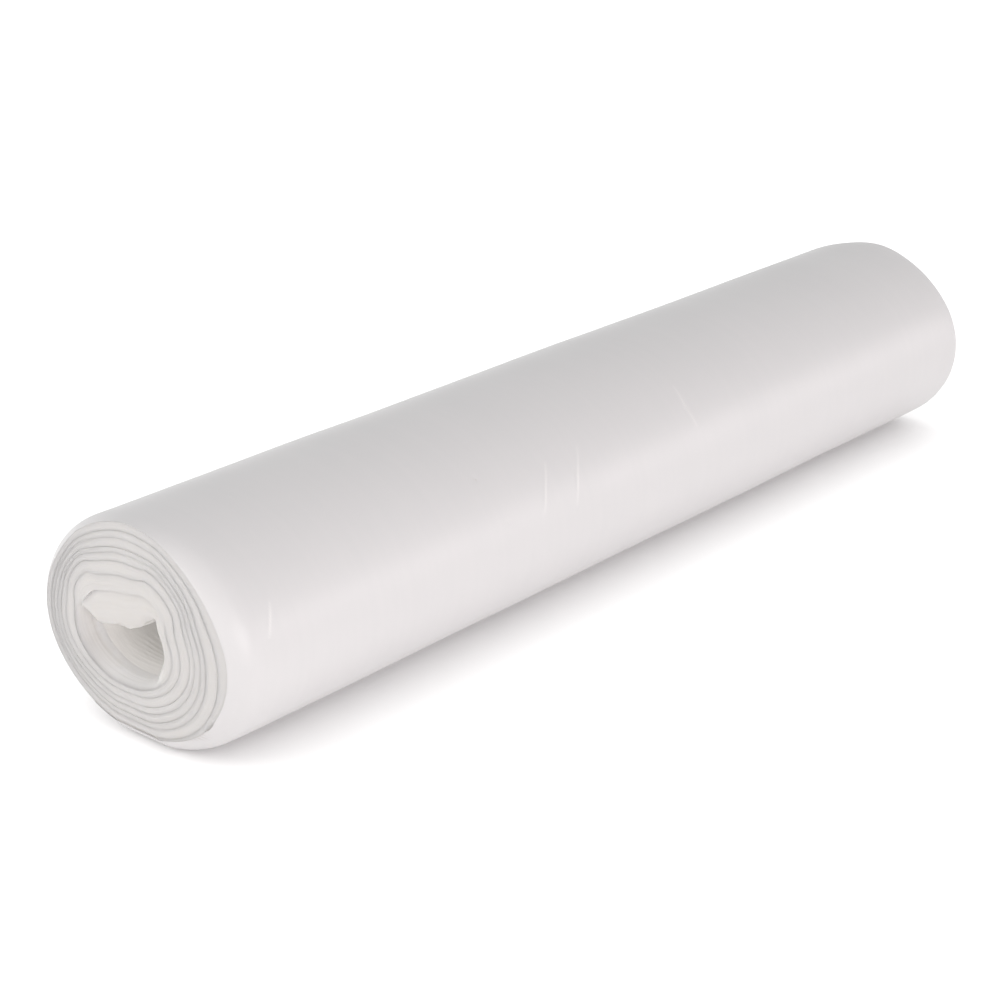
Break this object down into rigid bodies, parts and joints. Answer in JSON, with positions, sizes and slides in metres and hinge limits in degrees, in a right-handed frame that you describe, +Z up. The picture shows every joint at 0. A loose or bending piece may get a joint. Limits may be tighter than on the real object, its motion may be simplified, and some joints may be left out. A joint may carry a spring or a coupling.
{
  "type": "roll of plastic film bags",
  "caption": "Coreless roll of flattened plastic film bags lying on its side, sagged to an oval with a slit-like hollow along its middle.",
  "frame": {"origin": "middle of the flat that the roll lies on, halfway along its length", "axes": "+X along the roll's axis, +Y across it towards the side on which the outer tail is tucked under, +Z up"},
  "size_m": [0.5, 0.11, 0.088],
  "materials": {
    "film": "frosted white polyethylene film with a soft sheen"
  },
  "bodies": {
    "root": {"bag_roll": "film"}
  },
  "joints": []
}
